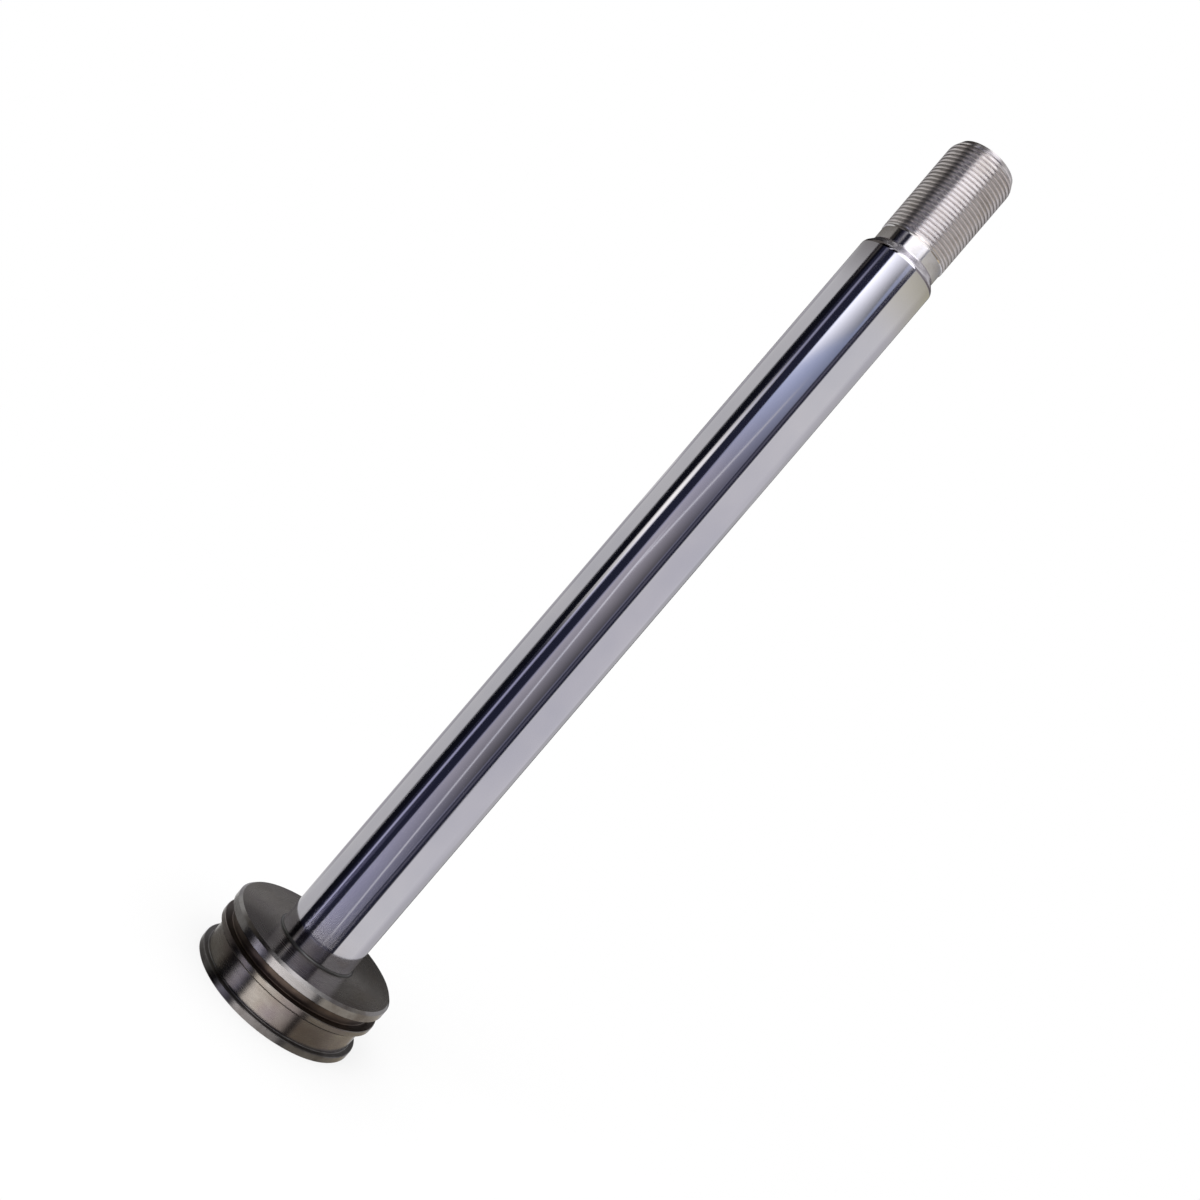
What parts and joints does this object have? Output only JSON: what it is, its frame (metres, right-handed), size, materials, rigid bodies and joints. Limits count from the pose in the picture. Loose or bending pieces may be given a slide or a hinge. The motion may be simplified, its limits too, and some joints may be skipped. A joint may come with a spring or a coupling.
{
  "type": "hydraulic cylinder piston rod",
  "caption": "One-piece hydraulic piston rod: grooved piston head, ground and chromed rod, and a fine-threaded end for a clevis or an eye.",
  "frame": {"origin": "centre of the piston head's end face, which the part stands on", "axes": "+Z along the rod's axis, from the piston head to the threaded end; X and Y are free, because the part is turned"},
  "size_m": [0.0824, 0.0824, 0.4745],
  "materials": {
    "chromed_steel": "ground and hard-chromed rod; head, neck and thread left as bare turned steel"
  },
  "bodies": {
    "root": {"piston_rod": "chromed_steel"}
  },
  "joints": []
}
